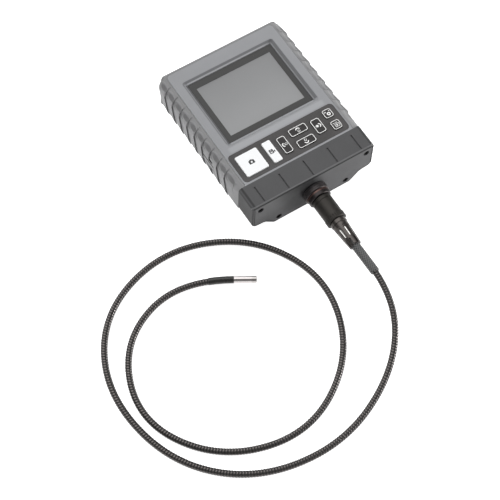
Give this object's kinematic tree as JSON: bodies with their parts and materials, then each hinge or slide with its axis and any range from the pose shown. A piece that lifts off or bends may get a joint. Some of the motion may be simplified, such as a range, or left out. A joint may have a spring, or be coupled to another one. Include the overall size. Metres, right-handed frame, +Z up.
{
  "type": "inspection camera",
  "caption": "Hand-held inspection camera: ribbed housing with a screen and keypad, and a coiled gooseneck probe with a small camera head on a screw-on plug.",
  "frame": {"origin": "on the table under the middle of the housing, where its underside rests", "axes": "+Z up through the screen, +Y along the housing away from the connector, +X across the housing to its right"},
  "size_m": [0.284, 0.3322, 0.0405],
  "materials": {
    "housing": "fine moulded texture, mid grey",
    "boot": "matt soft-touch rubber, warm grey",
    "cap": "fine moulded texture, charcoal",
    "screw_steel": "blackened steel",
    "window": "clear window with a dark printed border",
    "gasket": "black foam",
    "lcd": "display, switched off",
    "black_plastic": "black plastic",
    "overlay": "dark textured overlay",
    "key_white": "white key with a dark icon",
    "key_dark": "dark key with a white outline and icon",
    "silicone": "grey silicone",
    "board": "green circuit board",
    "chip": "black epoxy packages",
    "tin": "tin-plated shell",
    "flex": "amber flat cable",
    "nickel": "nickel plate",
    "cell_wrap": "plain shrink wrap",
    "door_rubber": "grey rubber cover",
    "steel_pin": "steel pin",
    "connector": "black anodised metal",
    "seal": "black rubber",
    "insulator": "black insulator",
    "gold": "gold-plated contacts",
    "sleeve": "dark grey flexible sleeve",
    "neck": "black wound gooseneck",
    "neck_end": "smooth black sleeve",
    "chrome": "polished",
    "chrome_ring": "satin chrome ring",
    "lens_glass": "clear lens glass",
    "lamp": "white lamp resin"
  },
  "bodies": {
    "housing": {"front_shell": "housing", "back_shell": "housing", "grip_boot": "boot", "end_cap": "cap", "end_cap_screws": "screw_steel", "case_screws": "screw_steel", "screen_window": "window", "window_gasket": "gasket", "lcd_panel": "lcd", "lcd_bracket": "black_plastic", "bracket_screws": "screw_steel", "keypad_overlay": "overlay", "key_mat": "silicone", "key_board": "board", "key_board_screws": "screw_steel", "main_board": "board", "board_screws": "screw_steel", "board_chips": "chip", "usb_socket": "tin", "card_socket": "tin", "display_cable": "flex", "keypad_cable": "flex", "battery_tray": "black_plastic", "battery_cell_1": "cell_wrap", "battery_cell_2": "cell_wrap", "battery_cell_3": "cell_wrap", "battery_cell_4": "cell_wrap", "battery_contacts": "nickel", "port_pin": "steel_pin", "panel_socket": "connector", "socket_seal": "seal", "socket_nut": "nickel", "socket_insert": "insulator", "socket_pins": "gold"},
    "key_photo": {"key_photo": "key_white"},
    "key_video": {"key_video": "key_white"},
    "key_left": {"key_left": "key_dark"},
    "key_up": {"key_up": "key_dark"},
    "key_down": {"key_down": "key_dark"},
    "key_right": {"key_right": "key_dark"},
    "key_power": {"key_power": "key_dark"},
    "key_menu": {"key_menu": "key_dark"},
    "battery_door": {"battery_door": "housing"},
    "port_cover": {"port_cover": "door_rubber"},
    "probe": {"plug_shell": "connector", "plug_insert": "insulator", "cable_clamp": "connector", "strain_sleeve": "sleeve", "gooseneck": "neck", "end_ferrule": "neck_end", "head_shell": "chrome", "lens_ring": "chrome_ring", "head_window": "lens_glass", "head_lens": "lens_glass", "head_lights": "lamp", "sensor_board": "board"},
    "coupling_nut": {"coupling_nut": "connector"}
  },
  "joints": [
    {"name": "key_photo_press", "type": "slide", "parent": "housing", "child": "key_photo", "axis": [0, 0, -1], "range_m": [0, 0.0006], "stiffness_N_per_m": 400},
    {"name": "key_video_press", "type": "slide", "parent": "housing", "child": "key_video", "axis": [0, 0, -1], "range_m": [0, 0.0006], "stiffness_N_per_m": 400},
    {"name": "key_left_press", "type": "slide", "parent": "housing", "child": "key_left", "axis": [0, 0, -1], "range_m": [0, 0.0006], "stiffness_N_per_m": 400},
    {"name": "key_up_press", "type": "slide", "parent": "housing", "child": "key_up", "axis": [0, 0, -1], "range_m": [0, 0.0006], "stiffness_N_per_m": 400},
    {"name": "key_down_press", "type": "slide", "parent": "housing", "child": "key_down", "axis": [0, 0, -1], "range_m": [0, 0.0006], "stiffness_N_per_m": 400},
    {"name": "key_right_press", "type": "slide", "parent": "housing", "child": "key_right", "axis": [0, 0, -1], "range_m": [0, 0.0006], "stiffness_N_per_m": 400},
    {"name": "key_power_press", "type": "slide", "parent": "housing", "child": "key_power", "axis": [0, 0, -1], "range_m": [0, 0.0006], "stiffness_N_per_m": 400},
    {"name": "key_menu_press", "type": "slide", "parent": "housing", "child": "key_menu", "axis": [0, 0, -1], "range_m": [0, 0.0006], "stiffness_N_per_m": 400},
    {"name": "port_cover_turn", "type": "hinge", "parent": "housing", "child": "port_cover", "pos_m": [-0.0578, 0.0004, 0.0204], "axis": [0, -1, 0], "range_deg": [0, 90]},
    {"name": "battery_door_slide", "type": "slide", "parent": "housing", "child": "battery_door", "axis": [0, 1, 0], "range_m": [0, 0.058]},
    {"name": "probe_slide", "type": "slide", "parent": "housing", "child": "probe", "axis": [0, -1, 0], "range_m": [0, 0.006]},
    {"name": "coupling_nut_turn", "type": "hinge", "parent": "probe", "child": "coupling_nut", "pos_m": [0, -0.086, 0.0192], "axis": [0, -1, 0], "range_deg": [0, 2160.5]}
  ],
  "couplings": [
    {"joint": "coupling_nut_turn", "follows": "probe_slide", "rad_per_m": 6283.2}
  ]
}
